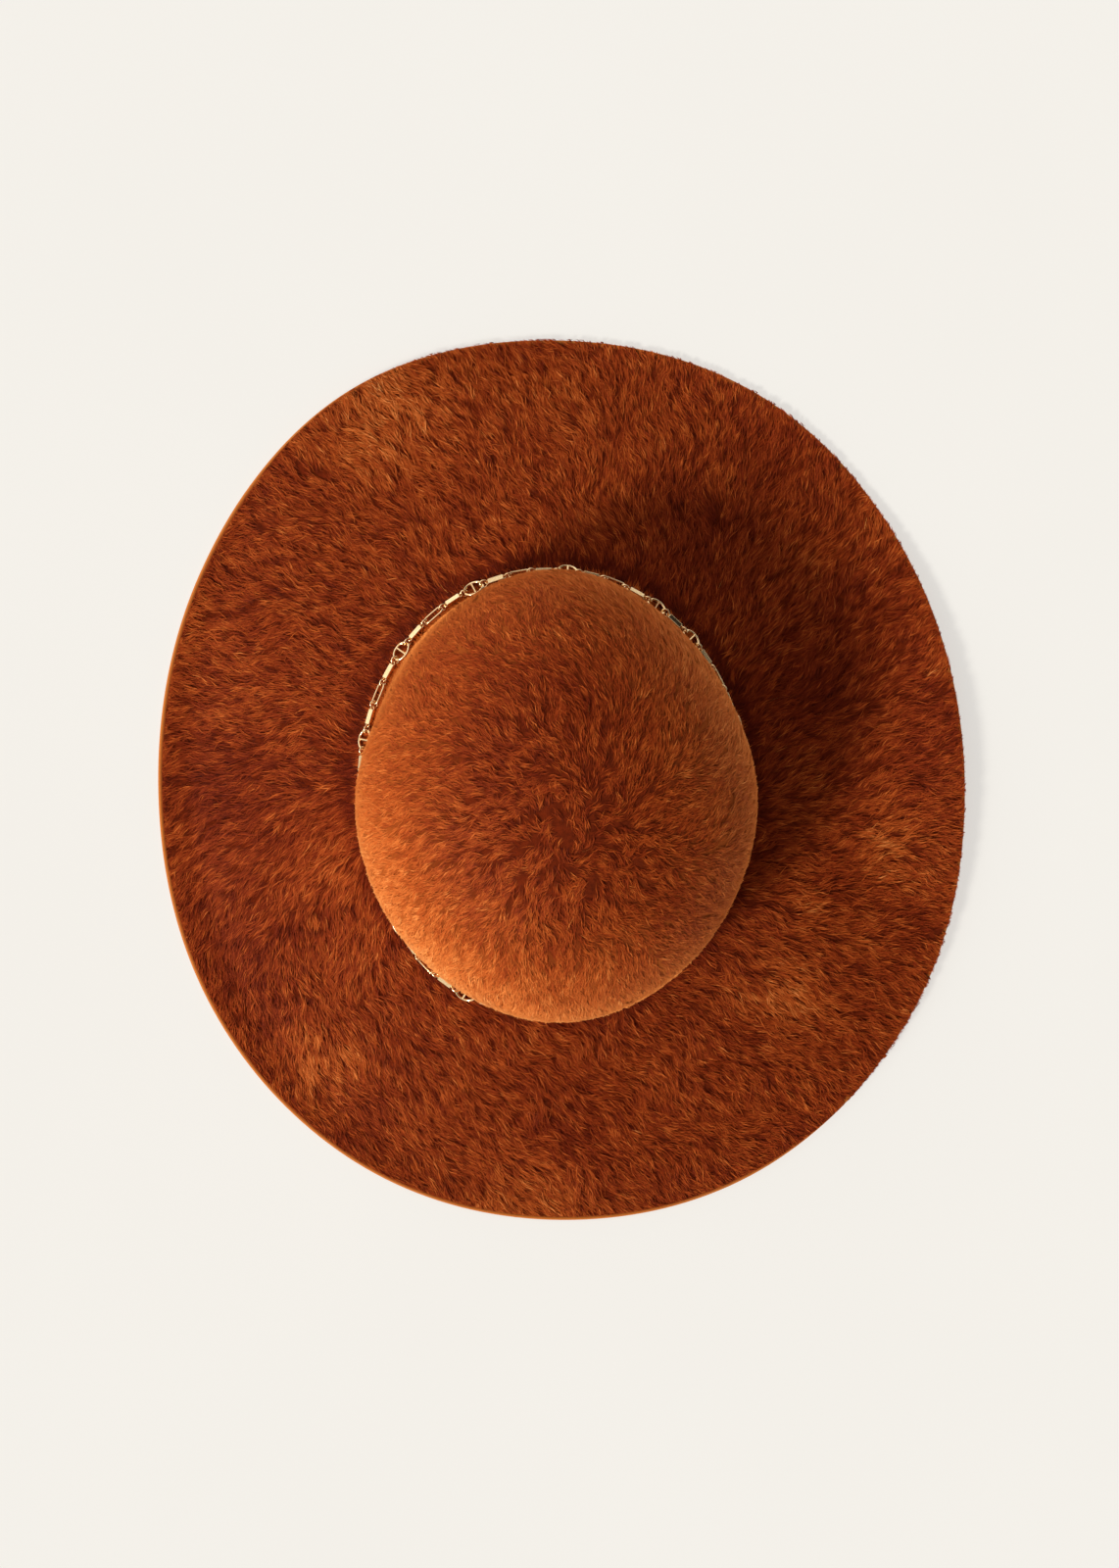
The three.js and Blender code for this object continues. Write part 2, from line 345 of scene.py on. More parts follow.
halves = np.concatenate([quads[:, [0, 1, 2]], quads[:, [0, 2, 3]]])
outer_tip = np.stack([0 * cells[0] + len(felt_points) - 2, cells[0], beside[0]], -1)
inner_tip = np.stack([0 * cells[0] + len(felt_points) - 1, beside[-1], cells[-1]], -1)
felt_faces = np.concatenate([halves, outer_tip, inner_tip])
rows_of = np.append(np.repeat(np.arange(1, row_count + 1), FELT_COLUMNS), [0, row_count + 1])
columns_of = np.append(np.tile(np.arange(FELT_COLUMNS), row_count), [0, 0])

# The faces of the last column run on to the seam of the marks, instead of back to the first column
u = columns_of[felt_faces]
u = np.where((u == 0) & (u.max(1, keepdims=True) > FELT_COLUMNS / 2), FELT_COLUMNS, u)
felt_uv = np.stack([u / FELT_COLUMNS, rows_of[felt_faces] / (row_count + 1)], -1)
felt_body = new_piece("felt_hood", felt_points, felt_faces, felt, felt_uv)
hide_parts("felt_body")

# The nap. The long guard hairs of the fur were brushed out of the felt and steamed down, so they
# lie in wavy locks that run out from a whorl near the tip and turn anticlockwise on the way.
# Hairs are drawn four to ten times too thick, as flat blades, so that they show.
STRANDS = 268000
LOCK_STRANDS = 12
HAIR_WIDTH = 0.36 * MM
LOCK_SPREAD = 1.3 * MM
HAIR_LENGTHS = {"crown": (3.6 * MM, 6.6 * MM), "brim": (4.6 * MM, 8.6 * MM)}
HAIR_LIFTS = {"crown": (0.4 * MM, 1.2 * MM), "brim": (0.5 * MM, 1.7 * MM)}
PRESSED_LIFT = 0.25 * MM
PRESSED_REACH = 9 * MM
WHORL = (-3 * MM, -18 * MM)
CURLED_REACH = 34 * MM
WAVE_LENGTH = 7 * MM
WAVE_SWING = math.radians(16)
BARE_EDGE = 1.7 * MM
HANGING_OVER = 0.5 * MM

# How far the nap turns anticlockwise from straight outwards, in degrees, every 45 degrees from +X
NAP_TURN = {
    "crown": [18, 24, 33, 26, 20, 10, 12, 15],
    "brim": [12, 13, 29, 29, 24, 70, 44, 14],
}

# Patches of painted light and shade on the nap, on the brim and on the crown: painted sheen where
# the nap lies across the lamp's light, painted shade where it lies along it or where the crown's
# shadow falls. x, y and width in millimetres, and strength
BRIM_PAINTED_LIGHT = [
    (-76, 161, 62, 0.22),
    (146, -27, 36, 0.16),
    (96, -90, 40, 0.17),
    (-108, -117, 32, 0.22),
    (-146, -67, 46, -0.15),
    (135, 69, 50, -0.13),
    (5, 162, 60, 0.06),
    (-76, 165, 50, 0.06),
    (165, 17, 42, -0.12),
    (-98, -32, 22, 0.16),
    (-15, -183, 46, 0.18),
    (-160, 65, 26, 0.12),
    (-143, -4, 46, -0.17),
    (-5, -152, 38, -0.16),
    (81, -108, 22, -0.12),
    (-90, -143, 22, -0.12),
    (100, 144, 50, -0.12),
    (102, 38, 52, -0.16),
    (62, 100, 54, -0.13),
    (90, -100, 40, 0.06),
]
CROWN_PAINTED_LIGHT = [
    (4, 50, 64, -0.07),
    (52, -50, 52, -0.13),
    (60, 28, 36, 0.05),
]

# Guard hair is a translucent fibre with a faint gloss. Its tips are paler than its roots, and
# seen from the side the ends glow, which the tinted sheen gives.
hair, tree, surface = new_material("brushed_guard_hair")

# X is the hair's own tone, and Y runs from its root to its tip
marks = add_node(tree, "ShaderNodeUVMap", uv_map="OFBake").outputs["UV"]
shade = add_node(tree, "ShaderNodeSeparateXYZ", {"Vector": marks})
dye = add_node(
    tree,
    "ShaderNodeValToRGB",
    {"Fac": shade.outputs["X"]},
    [
        (0.0, "#5A1806"),
        (1.0, "#F49C55"),
        (0.2, "#7A270C"),
        (0.4, "#9C3D14"),
        (0.6, "#BE5820"),
        (0.8, "#DA7836"),
    ],
)
root = add_node(
    tree,
    "ShaderNodeValToRGB",
    {"Fac": shade.outputs["Y"]},
    [(0.0, "#806C62"), (0.6, "#FFFFFF")],
)
colour = add_node(
    tree,
    "ShaderNodeMix",
    {"Factor": 1.0, "A": dye.outputs["Color"], "B": root.outputs["Color"]},
    data_type="RGBA",
    blend_type="MULTIPLY",
)
strand = add_node(
    tree,
    "ShaderNodeBsdfPrincipled",
    {
        "Base Color": colour.outputs["Result"],
        "Roughness": 0.6,
        "Specular IOR Level": 0.05,
        "Sheen Weight": 0.5,
        "Sheen Roughness": 0.35,
        "Sheen Tint": linear("#FFA050"),
    },
)
tree.links.new(strand.outputs["BSDF"], surface)

# The ground that the hair grows on: the upper face of the felt, carried on a little past the rim
GROUND_COLUMNS = 720
CROWN_ROWS = 120
BREAK_ROWS = 10
BRIM_ROWS = 74
OVERHANG = 0.05
ground_angles = np.linspace(0, 2 * math.pi, GROUND_COLUMNS, endpoint=False)
brim_shares = np.linspace(0, 1 + OVERHANG, BRIM_ROWS)
ground = felt_top(ground_angles, CROWN_ROWS, BREAK_ROWS, brim_shares)
ground_out = face_normals(ground)
rim_row = CROWN_ROWS - 1 + BREAK_ROWS + (BRIM_ROWS - 1) / (1 + OVERHANG)
break_row = CROWN_ROWS - 1 + BREAK_ROWS / 2
down = np.gradient(ground, axis=0)
around = (np.roll(ground, -1, 1) - np.roll(ground, 1, 1)) / 2
down_length = np.linalg.norm(down, axis=-1)
around_length = np.maximum(np.linalg.norm(around, axis=-1), 0.02 * MM)


def on_ground(values, row, column):
    """Values of a grid on the ground, between its rows and columns"""
    row = np.clip(row, 0, values.shape[0] - 1.001)
    r = np.floor(row).astype(int)
    c = np.floor(column).astype(int)
    across = column - c
    along = row - r
    if values.ndim == 3:
        across = across[..., None]
        along = along[..., None]
    left = c % GROUND_COLUMNS
    right = (c + 1) % GROUND_COLUMNS
    upper = values[r, left] * (1 - across) + values[r, right] * across
    lower = values[r + 1, left] * (1 - across) + values[r + 1, right] * across
    return upper * (1 - along) + lower * along


def drift(points, size, seed, waves=20):
    """A smooth random value at each point, mostly from -1 to 1, whose hills are about size apart"""
    picks = np.random.default_rng(seed)
    ways = picks.normal(size=(waves, 3))
    ways *= picks.uniform(0.7, 1.4, (waves, 1)) / np.linalg.norm(ways, axis=1, keepdims=True)
    phases = picks.uniform(0, 2 * math.pi, waves)
    return np.sin(points @ ways.T * (2 * math.pi / size) + phases).sum(1) * 0.9 / math.sqrt(waves)


# Each lock starts somewhere on the ground, evenly by area, and follows the nap. It strays from it
# together with the locks far round it, with those close by, and on its own, and most at the tip.
FAR_STRAY = math.radians(17)
FAR_SPACING = 38 * MM
NEAR_STRAY = math.radians(15)
NEAR_SPACING = 10 * MM
OWN_STRAY = math.radians(8)
TIP_STRAY = math.radians(75)
TIP_SPACING = 11 * MM
WAVE_SPACING = 14 * MM
WAVE_DRIFT = 3
WAVE_SHIFT = 0.7
picks = np.random.default_rng(12)
lock_count = STRANDS // LOCK_STRANDS
area = down_length * around_length
area[int(rim_row):] = 0
filled = np.cumsum(area.ravel())
targets = (np.arange(lock_count) + picks.uniform(size=lock_count)) / lock_count * filled[-1]
cell = np.searchsorted(filled, targets)
row = cell // GROUND_COLUMNS + picks.uniform(size=lock_count)
column = cell % GROUND_COLUMNS + picks.uniform(size=lock_count)
start = on_ground(ground, row, column)
on_brim = row > break_row
turn_rows = np.array([NAP_TURN["crown"], NAP_TURN["brim"]], float).T
turn_place = (column / GROUND_COLUMNS * len(turn_rows)) % len(turn_rows)
crown_turn, brim_turn = smooth_rows(turn_rows, turn_place, True).T
lock_turn = np.radians(np.where(on_brim, brim_turn, crown_turn))
lock_turn += FAR_STRAY * drift(start, FAR_SPACING, 1)
lock_turn += NEAR_STRAY * drift(start, NEAR_SPACING, 2)
lock_turn += picks.normal(0, OWN_STRAY, lock_count)
to_whorl = np.hypot(start[:, 0] - WHORL[0], start[:, 1] - WHORL[1])
curl = TIP_STRAY * drift(start, TIP_SPACING, 4) * np.exp(-(to_whorl / CURLED_REACH) ** 2)
lock_turn += np.where(on_brim, 0, curl)
wave_phase = WAVE_DRIFT * drift(start, WAVE_SPACING, 3)
wave_phase += picks.normal(0, WAVE_SHIFT, lock_count)
whorl = np.array([*WHORL, start[np.argmin(to_whorl), 2]])

# Each lock's path over the felt, in short steps that swing from side to side
PATH_STEPS = 8
PATH_LENGTH = 13 * MM
step = PATH_LENGTH / PATH_STEPS
path_points = []
path_out = []
path_rows = []
for i in range(PATH_STEPS + 1):
    here = on_ground(ground, row, column)
    way_down = on_ground(down, row, column)
    way_around = on_ground(around, row, column)
    way_down /= np.linalg.norm(way_down, axis=1, keepdims=True)
    way_around /= np.maximum(np.linalg.norm(way_around, axis=1, keepdims=True), 1e-9)
    path_points.append(here)
    path_out.append(on_ground(ground_out, row, column))
    path_rows.append(row.copy())
    from_whorl = here - whorl
    heading = np.arctan2((from_whorl * way_around).sum(1), (from_whorl * way_down).sum(1))
    heading += lock_turn + WAVE_SWING * np.sin(2 * math.pi * i * step / WAVE_LENGTH + wave_phase)
    row = row + np.cos(heading) * step / on_ground(down_length, row, column)
    column = column + np.sin(heading) * step / on_ground(around_length, row, column)
path_points = np.stack(path_points, 1)
path_out = np.stack(path_out, 1)
path_rows = np.stack(path_rows, 1)
path_along = np.gradient(path_points, axis=1)
path_along /= np.maximum(np.linalg.norm(path_along, axis=2, keepdims=True), 1e-9)
path_side = np.cross(path_out, path_along)

# How far along each lock the rim comes, or further than any hair where it never does
NEVER = 10 * PATH_LENGTH
rim_place = (path_rows < rim_row).sum(1)
last = np.clip(rim_place, 1, PATH_STEPS)
locks = np.arange(lock_count)
gained = path_rows[locks, last] - path_rows[locks, last - 1]
beyond = (rim_row - path_rows[locks, last - 1]) / np.where(np.abs(gained) < 1e-6, 1, gained)
at_rim = (last - 1 + np.clip(beyond, 0, 1)) * step
rim_reach = np.where(rim_place > PATH_STEPS, NEVER, at_rim)

# The hairs of a lock start spread out and close up towards its tip, but for some strays. Near the
# rim they were trimmed, closest along the left. In the crease under the chain they are pressed.
HAIR_FAN = math.radians(9)
STRAY_SHARE = 0.1
STRAY_FAN = math.radians(32)
FIRST_ROOTS = 4 * MM
CLOSE_CUT_SIDE = math.radians(205)
CLOSE_CUT_FROM = 60 * MM
CLOSE_CUT = 2.0 * MM
LONG_CUT = 0.3 * MM
CUT_UNEVEN = 0.35 * MM
SHORTEST_HAIR = 1.4 * MM
strand_lock = np.repeat(locks, LOCK_STRANDS)
count = len(strand_lock)
lengths = np.where(on_brim[:, None], HAIR_LENGTHS["brim"], HAIR_LENGTHS["crown"])[strand_lock]
lifts = np.where(on_brim[:, None], HAIR_LIFTS["brim"], HAIR_LIFTS["crown"])[strand_lock]
hair_length = lengths[:, 0] + (lengths[:, 1] - lengths[:, 0]) * picks.beta(2, 2, count)
hair_lift = lifts[:, 0] + (lifts[:, 1] - lifts[:, 0]) * picks.beta(1.6, 2.6, count)
offset = picks.normal(0, LOCK_SPREAD, count)
fan = picks.normal(0, HAIR_FAN, count)
stray = picks.uniform(size=count) < STRAY_SHARE
fan = np.where(stray, picks.normal(0, STRAY_FAN, count), fan)
begin = picks.uniform(0, FIRST_ROOTS, count)
left_side = start[:, 0] * math.cos(CLOSE_CUT_SIDE) + start[:, 1] * math.sin(CLOSE_CUT_SIDE)
trim = np.where(left_side > CLOSE_CUT_FROM, CLOSE_CUT, LONG_CUT)
end = begin + hair_length
end = np.minimum(end, rim_reach[strand_lock] - trim[strand_lock] + picks.normal(0, CUT_UNEVEN, count))
begin = np.minimum(begin, end - SHORTEST_HAIR)
tone_lift = hair_lift / HAIR_LIFTS["brim"][1]

from_tip = np.cumsum(down_length, 0)
from_break = on_ground(from_tip, path_rows[:, 0], 0 * path_rows[:, 0]) - from_tip[int(break_row), 0]
free = np.clip(np.abs(from_break) / PRESSED_REACH, 0, 1)[strand_lock]
hair_lift = PRESSED_LIFT + (hair_lift - PRESSED_LIFT) * free ** 2

# Each blade rolls a little about its length, less on the steep walls, and is shaded mostly like
# the felt under it, as a fibre has no flat side to catch light. Some stand out over the rest.
# BLADE has, from root to tip, the place along it, its lift, its spread in the lock and its width.
BLADE = [(0.0, -0.12, 0.9, 1.0), (0.5, 0.8, 0.65, 1.0), (1.0, 1.0, 0.45, 0.0)]
ROLL_SHOWN = 0.45
OWN_ROLL = math.radians(24)
LOCK_ROLL = math.radians(14)
STEEP_ROLL_LOST = 0.75
BRIGHT_SHARE = 0.16
BRIGHT_LIFT = 1.35
BRIGHT_WIDTH = 1.15
FINEST, COARSEST = 0.65, 1.3
bright = picks.uniform(size=count) < BRIGHT_SHARE
hair_lift = np.where(bright, hair_lift * BRIGHT_LIFT, hair_lift)
roll = picks.normal(0, OWN_ROLL, count) + offset / LOCK_SPREAD * LOCK_ROLL
steep = np.where(on_brim, 0, np.clip(1 - path_out[:, 0, 2], 0, 1))
roll *= 1 - STEEP_ROLL_LOST * steep[strand_lock]
width = HAIR_WIDTH * picks.uniform(FINEST, COARSEST, count)
width *= np.where(bright, BRIGHT_WIDTH, 1)


def path_at(values, distance):
    """Values along each hair's lock, at a distance from where the lock starts"""
    at = np.clip(distance / step, 0, PATH_STEPS - 0.001)
    low_step = np.floor(at).astype(int)
    share = (at - low_step)[:, None]
    return values[strand_lock, low_step] * (1 - share) + values[strand_lock, low_step + 1] * share


blades = []
blade_normals = []
for along, lift, closed_up, wide in BLADE:
    distance = begin + (end - begin) * along
    short = np.minimum(distance, 0)[:, None]
    middle = path_at(path_points, distance) + path_at(path_along, distance) * short
    normal = path_at(path_out, distance)
    side = path_at(path_side, distance)
    sideways = offset * closed_up + np.sin(fan) * (end - begin) * along
    middle = middle + side * sideways[:, None] + normal * (hair_lift * lift)[:, None]
    across = side * np.cos(roll)[:, None] + normal * np.sin(roll)[:, None]
    reach = across * (width * wide / 2)[:, None]
    blades.extend([middle - reach, middle + reach] if wide else [middle])
    soft = normal * np.cos(roll * ROLL_SHOWN)[:, None] - side * np.sin(roll * ROLL_SHOWN)[:, None]
    blade_normals.extend([soft, soft] if wide else [soft])
blades = np.stack(blades, 1)
blade_normals = np.stack(blade_normals, 1)

# Nothing reaches past the shears' cut, which left the felt bare along the left and the front
BARE_SIDE = math.radians(215)
LOWEST_HAIR = 0.2 * MM
blade_angle = np.arctan2(blades[..., 1], blades[..., 0])
rim_angle = np.linspace(0, 2 * math.pi, 721)
rim_outline = ellipse_reach(BRIM_WIDTH, BRIM_LENGTH, rim_angle)
rim_outline *= smooth_rows(BRIM_SECTIONS, rim_angle / math.radians(30), True)[:, 0]
allowed = np.interp(blade_angle % (2 * math.pi), rim_angle, rim_outline)
bare = np.clip(np.cos(blade_angle - BARE_SIDE) * 2 + 0.6, 0, 1)
allowed -= BARE_EDGE * bare - HANGING_OVER * (1 - bare)
reached = np.hypot(blades[..., 0], blades[..., 1])
blades[..., :2] *= np.minimum(1, allowed / np.maximum(reached, 1e-6))[..., None]
blades[..., 2] = np.maximum(blades[..., 2], LOWEST_HAIR)

# The tone of each hair, from 0 to 1. On the crown's walls it is paler and more even: painted sheen,
# the glow of fur seen edge-on. Painted light makes it lighter towards the lower left, where the lamp
# is, and painted shade darker towards the upper left. Then come the patches, the locks and each
# hair's own tone.
ON_FLAT = 0.37
WALL_SHEEN_TONE = 0.89
STEEPNESS_SHOWN = 0.65
PAINTED_SHADE_SIDE = math.radians(135)
PAINTED_SHADE_DROP = 0.3
PAINTED_LIGHT_SIDE = math.radians(236)
PAINTED_LIGHT_RISE = 0.2
WALL_EVENNESS = 0.7
WALL_ROOT_SHEEN = 0.6
FAR_TONE = 0.03
FAR_TONE_SPACING = 30 * MM
NEAR_TONE = 0.05
NEAR_TONE_SPACING = 8 * MM
LOCK_TONE = 0.07
HAIR_TONE = 0.06
LIFTED_HIGHLIGHT = 0.16
LOCK_EDGE_SHADE = 0.06
STANDING_HIGHLIGHT = 0.13
CREASE_SHADE = 0.28
BRIM_CREASE_SHADE = 0.12
DARKEST, PALEST = 0.02, 0.98


def towards(side, angle, narrowness):
    """A share that is 1 on one side of the hat and falls to 0 a quarter turn away from it"""
    return np.clip(np.cos(angle - side), 0, 1) ** narrowness


lock_angle = np.arctan2(start[:, 1], start[:, 0])
wall = np.clip(1 - path_out[:, 0, 2], 0, 1) ** STEEPNESS_SHOWN
wall = np.where(on_brim, 0, wall)
painted_shade = PAINTED_SHADE_DROP * towards(PAINTED_SHADE_SIDE, lock_angle, 3)
painted_light = PAINTED_LIGHT_RISE * towards(PAINTED_LIGHT_SIDE, lock_angle, 4)
tone = ON_FLAT + (WALL_SHEEN_TONE - painted_shade + painted_light - ON_FLAT) * wall
evenness = 1 - WALL_EVENNESS * wall
drifted = FAR_TONE * drift(start, FAR_TONE_SPACING, 5) + NEAR_TONE * drift(start, NEAR_TONE_SPACING, 6)
tone += evenness * drifted
tone += evenness * picks.normal(0, LOCK_TONE, lock_count)
# The patches of painted light and shade
for patches, inside in ((BRIM_PAINTED_LIGHT, on_brim), (CROWN_PAINTED_LIGHT, ~on_brim)):
    for x, y, across, strength in patches:
        far = np.hypot(start[:, 0] - x * MM, start[:, 1] - y * MM) / (across * MM / 2)
        tone += np.where(inside, strength * np.exp(-far ** 2), 0)
# Painted shade: hairs in the crease under the chain are darker
own = -CREASE_SHADE * (1 - free) + picks.normal(0, HAIR_TONE, count)
# Painted highlights on lifted hairs and on those that stand out, and painted shade at the edges of each
# lock
own += LIFTED_HIGHLIGHT * (tone_lift - 0.5)
own -= LOCK_EDGE_SHADE * np.abs(offset) / LOCK_SPREAD
own += np.where(bright, STANDING_HIGHLIGHT, 0)
tone = np.clip(tone[strand_lock] + own * evenness[strand_lock], DARKEST, PALEST)
# More painted shade in the crease, on the brim's side
tone -= np.where(on_brim[strand_lock], BRIM_CREASE_SHADE, 0) * (1 - free)
tone = np.clip(tone, DARKEST, PALEST)

# The nap as five pieces of like size. Each hair has three faces on five points.
BLADE_FACES = np.array([(0, 3, 1), (0, 2, 3), (2, 4, 3)])
BLADE_V = np.array([0.0, 0.0, 0.5, 0.5, 1.0])
BLADE_U = np.array([-0.006, 0.006, -0.006, 0.006, 0.0])
LOW_CROWN = 0.56
azimuth = np.degrees(lock_angle) % 360
low_crown = path_rows[:, 0] > CROWN_ROWS * LOW_CROWN
nap_zones = {
    "nap_crown_top": ~on_brim & ~low_crown,
    "nap_crown_wall": ~on_brim & low_crown,
    "nap_brim_back": on_brim & (azimuth >= 30) & (azimuth < 150),
    "nap_brim_left": on_brim & (azimuth >= 150) & (azimuth < 270),
    "nap_brim_right": on_brim & ((azimuth >= 270) | (azimuth < 30)),
}
for name, zone in nap_zones.items():
    chosen = np.flatnonzero(zone[strand_lock])
    firsts = np.arange(len(chosen))[:, None, None] * len(BLADE_V)
    faces = (firsts + BLADE_FACES).reshape(-1, 3)
    across = tone[chosen][:, None] + BLADE_U
    # On the crown's walls the roots are paler too, as painted sheen
    root_sheen = WALL_ROOT_SHEEN * wall[strand_lock[chosen]][:, None]
    corners = np.stack([across, BLADE_V + (1 - BLADE_V) * root_sheen], -1)
    corner_uv = corners[:, BLADE_FACES.ravel()]
    shading = blade_normals[chosen].reshape(-1, 3)
    piece = new_piece(name, blades[chosen].reshape(-1, 3), faces, hair, corner_uv, shading)

# The chain. Anchor links and long links of round wire alternate, each joined to the next by a
# square bar with an eye at either end, and small rings. It is brass, polished and gold plated,
# lies loose in the angle between crown and brim, and is closed between two anchor links.
ANCHOR_LENGTH = 10 * MM
ANCHOR_WIDTH = 8 * MM
ANCHOR_WIRE = 1.25 * MM
ANCHOR_BAR_SHARE = 0.46
LONG_LENGTH = 10.7 * MM
LONG_WIDTH = 4.4 * MM
LONG_WIRE = 0.95 * MM
BAR_LENGTH = 7 * MM
BAR_SIDE = 2.3 * MM
BAR_CORNER = 0.3 * MM
BAR_TURN = math.radians(15)
BAR_BEVEL = 0.84
BAR_BEVEL_FROM = 0.47
RING_SPAN = 2 * MM
RING_ACROSS = 4.2 * MM
RING_WIRE = 0.95 * MM
EYE_LENGTH = 3.1 * MM
EYE_WIDTH = 2.1 * MM
EYE_WIRE = 0.55 * MM
CHAIN_START = 93.8 * MM
CHAIN_CLEARANCE = 0.4 * MM
ANCHOR_DEPTH = 1.6 * MM

# Gold plate on polished brass: a pale yellow mirror, softened by fine wear that is drawn coarser
# than it is
WEAR_SPACING = 0.8 * MM
WEAR_HEIGHT = 0.03 * MM
gold, tree, surface = new_material("gold_plated_brass")
place = add_node(tree, "ShaderNodeTexCoord").outputs["Object"]
wear = add_node(
    tree,
    "ShaderNodeTexNoise",
    {"Vector": place, "Scale": 1 / WEAR_SPACING, "Detail": 5},
)
plate = add_node(
    tree,
    "ShaderNodeValToRGB",
    {"Fac": wear.outputs["Fac"]},
    [(0.3, "#F8CE90"), (0.7, "#FFE2B4")],
)
polish = add_node(
    tree,
    "ShaderNodeMapRange",
    {"Value": wear.outputs["Fac"], "To Min": 0.1, "To Max": 0.24},
)
dimples = add_node(
    tree,
    "ShaderNodeBump",
    {"Height": wear.outputs["Fac"], "Distance": WEAR_HEIGHT, "Strength": 0.5},
)
mirror = add_node(
    tree,
    "ShaderNodeBsdfPrincipled",
    {
        "Base Color": plate.outputs["Color"],
        "Metallic": 1.0,
        "Roughness": polish.outputs["Result"],
        "Normal": dimples.outputs["Normal"],
    },
)
tree.links.new(mirror.outputs["BSDF"], surface)


def loop_wire(across_x, across_y, wire, steps, sides, straight=0.0):
    """A closed loop of round wire in the XY plane, measured outside, with straight sides or none"""
    turn = np.linspace(0, 2 * math.pi, steps, endpoint=False)
    half_x = (across_x - wire - straight) / 2
    half_y = (across_y - wire) / 2
    way = np.stack([half_x * np.cos(turn), half_y * np.sin(turn), 0 * turn], -1)
    tangent = np.stack([-half_x * np.sin(turn), half_y * np.cos(turn), 0 * turn], -1)
    tangent /= np.linalg.norm(tangent, axis=1, keepdims=True)
    way[:, 0] += np.sign(np.round(np.cos(turn), 6)) * straight / 2
    outward = np.cross(tangent, (0, 0, 1))
    return wire_skin(way, outward, np.array([(0, 0, -1)] * steps), wire / 2, sides, True)


def wire_skin(way, first, second, radius, sides, closed):
    """A round skin along a line, from two directions square to it at each point"""
    turn = np.linspace(0, 2 * math.pi, sides, endpoint=False)
    radius = np.broadcast_to(radius, len(way))[:, None, None]
    circle = first[:, None] * np.cos(turn)[:, None] + second[:, None] * np.sin(turn)[:, None]
    points = (way[:, None] + circle * radius).reshape(-1, 3)
    index = np.arange(len(way) * sides).reshape(len(way), sides)
    following = np.roll(index, -1, 0)
    if not closed:
        index, following = index[:-1], following[:-1]
    faces = np.stack([index, np.roll(index, -1, 1), np.roll(following, -1, 1), following], -1)
    return points, faces.reshape(-1, 4)


def straight_wire(line, radii, sides):
    """A round skin along a straight line of points that all lie along X or along Y"""
    line = np.array(line, float)
    way = (line[-1] - line[0]) / np.linalg.norm(line[-1] - line[0])
    first = np.cross(way, (0, 0, 1))
    second = np.cross(way, first)
    firsts = np.array([first] * len(line))
    seconds = np.array([second] * len(line))
    return wire_skin(line, firsts, seconds, radii, sides, False)


def join(*skins):
    """Several skins as one"""
    points = []
    faces = []
    for skin_points, skin_faces in skins:
        faces.append(skin_faces + sum(len(p) for p in points))
        points.append(skin_points)
    return np.concatenate(points), np.concatenate(faces)


# The chain's line, at the distance from the felt that its widest links need. At the front left it
# hangs looser and shows beyond the crown.
SLACK = 2.3 * MM
SLACK_AZIMUTH = math.radians(241)
ROUTE_POINTS = 2881
ROUTE_STEP = 0.5 * MM
room = BREAK_RADIUS - CHAIN_CLEARANCE
anchor_place = math.sqrt(room ** 2 - (ANCHOR_WIDTH / 2) ** 2) - ANCHOR_DEPTH / 2
inset = min(anchor_place, room - RING_ACROSS / 2) * math.sqrt(0.5)
route_angle = np.linspace(0, 2 * math.pi, ROUTE_POINTS)
foot = crown_reach(route_angle)[0]
slack = SLACK * towards(SLACK_AZIMUTH, route_angle, 10)
route_reach = foot + BREAK_RADIUS - inset + slack
route = crown_point(route_angle, route_reach, BREAK_TOP + BREAK_RADIUS - inset)
route_at = np.concatenate([[0], np.cumsum(np.linalg.norm(np.diff(route, axis=0), axis=1))])
route_length = route_at[-1]


def on_route(distance, tilt=0.0):
    """The place and the ways along, across and away from the felt, at a distance on the chain"""
    near = [(distance + nudge) % route_length for nudge in (0, -ROUTE_STEP, ROUTE_STEP)]
    here, before, after = [
        np.array([np.interp(place, route_at, route[:, axis]) for axis in range(3)])
        for place in near
    ]
    along = (after - before) / np.linalg.norm(after - before)
    outward = np.cross(along, (0, 0, 1))
    across = (outward - (0, 0, 1)) * math.sqrt(0.5)
    away = (outward + (0, 0, 1)) * math.sqrt(0.5)
    turned = across * math.cos(tilt) + away * math.sin(tilt)
    return here, np.stack([along, turned, np.cross(along, turned)])


def lay(skin, distance, tilt=0.0):
    """A link laid on the chain's line, turned about it by tilt"""
    here, ways = on_route(distance, tilt)
    return here + skin[0] @ ways, skin[1]


stay_end = ANCHOR_WIDTH / 2 - ANCHOR_WIRE / 2
anchor = join(
    loop_wire(ANCHOR_LENGTH, ANCHOR_WIDTH, ANCHOR_WIRE, 44, 12),
    straight_wire([(0, -stay_end, 0), (0, stay_end, 0)], ANCHOR_WIRE * ANCHOR_BAR_SHARE, 12),
)
long_link = loop_wire(LONG_LENGTH, LONG_WIDTH, LONG_WIRE, 40, 12, LONG_LENGTH - LONG_WIDTH)
ring = loop_wire(RING_ACROSS, RING_ACROSS, RING_WIRE, 24, 10)
eye_points, eye_faces = loop_wire(EYE_LENGTH, EYE_WIDTH, EYE_WIRE, 20, 8)


